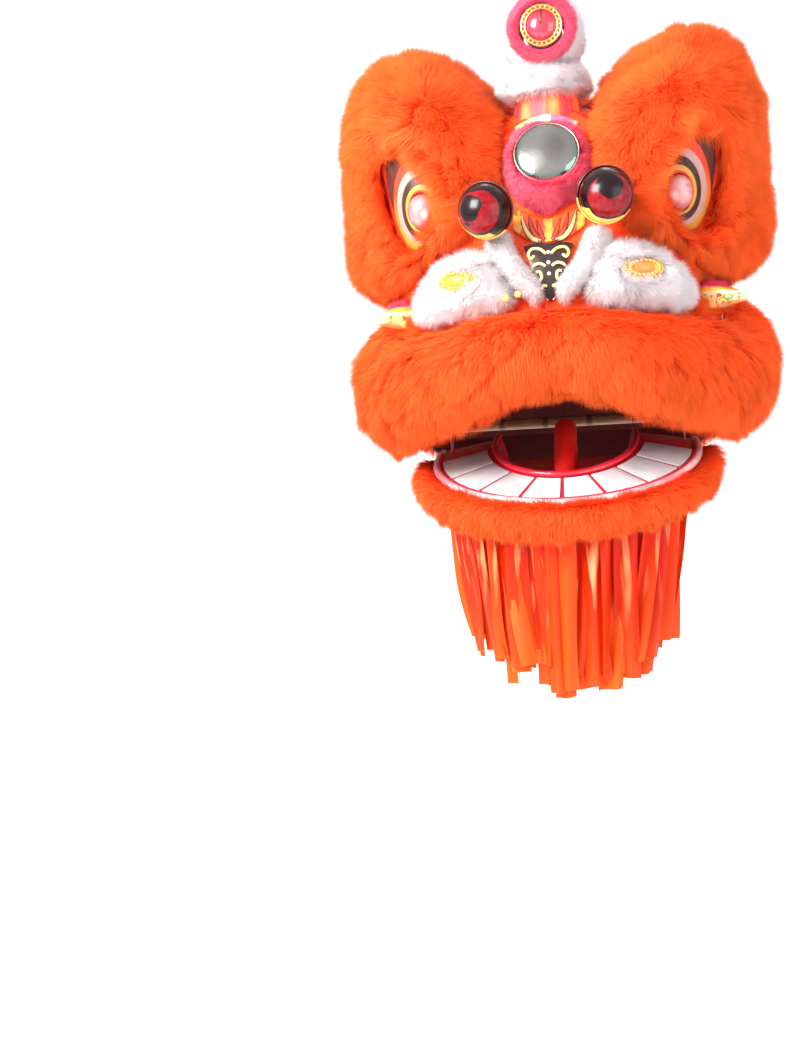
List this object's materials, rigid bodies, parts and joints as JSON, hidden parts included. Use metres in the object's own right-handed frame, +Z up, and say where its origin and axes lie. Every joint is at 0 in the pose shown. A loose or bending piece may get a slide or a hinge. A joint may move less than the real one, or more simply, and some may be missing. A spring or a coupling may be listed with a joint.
{
  "type": "lion dance head",
  "caption": "Hollow lion dance head with deep fur, domed mirror, eyes, horn, sprung balls, hinged jaw with teeth, and a ribbon beard.",
  "frame": {"origin": "middle of the carrying bar inside the head, at the mount carry_grip", "axes": "+Z up, the lion looks along -Y, and +X is to the lion's own left"},
  "size_m": [0.7262, 0.7218, 1.1225],
  "materials": {
    "orange_fur": "deep bright orange-red fur",
    "white_fur": "white fur",
    "pink_fur": "short pink fur",
    "shell": "dark red painted papier-mache",
    "eye_paint": "painted eye surround",
    "eyeball": "gloss white and pink",
    "mirror": "domed mirror",
    "gold": "gold",
    "red_gloss": "dark red gloss",
    "yellow_paint": "painted yellow and orange",
    "black_paint": "painted black",
    "tooth": "painted white",
    "lip_paint": "painted crimson",
    "pink_piping": "pink piping",
    "tongue": "painted bright red",
    "ribbon": "orange satin ribbon",
    "steel": "steel wire",
    "bamboo": "bare bamboo"
  },
  "bodies": {
    "head": {"face_fur_left": "orange_fur", "face_fur_right": "orange_fur", "back_fur": "orange_fur", "upper_lip_fur": "orange_fur", "horn_fur": "white_fur", "horn_collar": "white_fur", "white_stripe_left": "white_fur", "white_stripe_right": "white_fur", "cheek_fur_left": "white_fur", "cheek_fur_right": "white_fur", "mirror_fur_pad": "pink_fur", "horn_pink_fur": "pink_fur", "head_shell": "shell", "eye_plate_left": "eye_paint", "eye_plate_right": "eye_paint", "eye_ball_left": "eyeball", "eye_ball_right": "eyeball", "forehead_mirror": "mirror", "ball_cup_left": "gold", "ball_cup_right": "gold", "cheek_oval_left": "gold", "cheek_oval_right": "gold", "ball_left": "red_gloss", "ball_right": "red_gloss", "horn_medallion": "red_gloss", "forehead_band": "yellow_paint", "nose_panel": "yellow_paint", "side_band_left": "yellow_paint", "side_band_right": "yellow_paint", "nose_plate": "black_paint", "horn_base": "lip_paint", "horn_core": "lip_paint", "spring_left": "steel", "spring_right": "steel", "hinge_pin_left": "steel", "hinge_pin_right": "steel", "carry_bar": "bamboo"},
    "jaw": {"jaw_tray": "lip_paint", "jaw_rim": "pink_piping", "inner_lip": "tongue", "tongue": "tongue", "chin_fur": "orange_fur", "beard": "ribbon", "tooth_1": "tooth", "tooth_2": "tooth", "tooth_3": "tooth", "tooth_4": "tooth", "tooth_5": "tooth", "tooth_6": "tooth", "tooth_7": "tooth", "tooth_8": "tooth"}
  },
  "joints": [
    {"name": "jaw_hinge", "type": "hinge", "parent": "head", "child": "jaw", "pos_m": [0, -0.04, 0.02], "axis": [-1, 0, 0], "range_deg": [0, 15]}
  ]
}
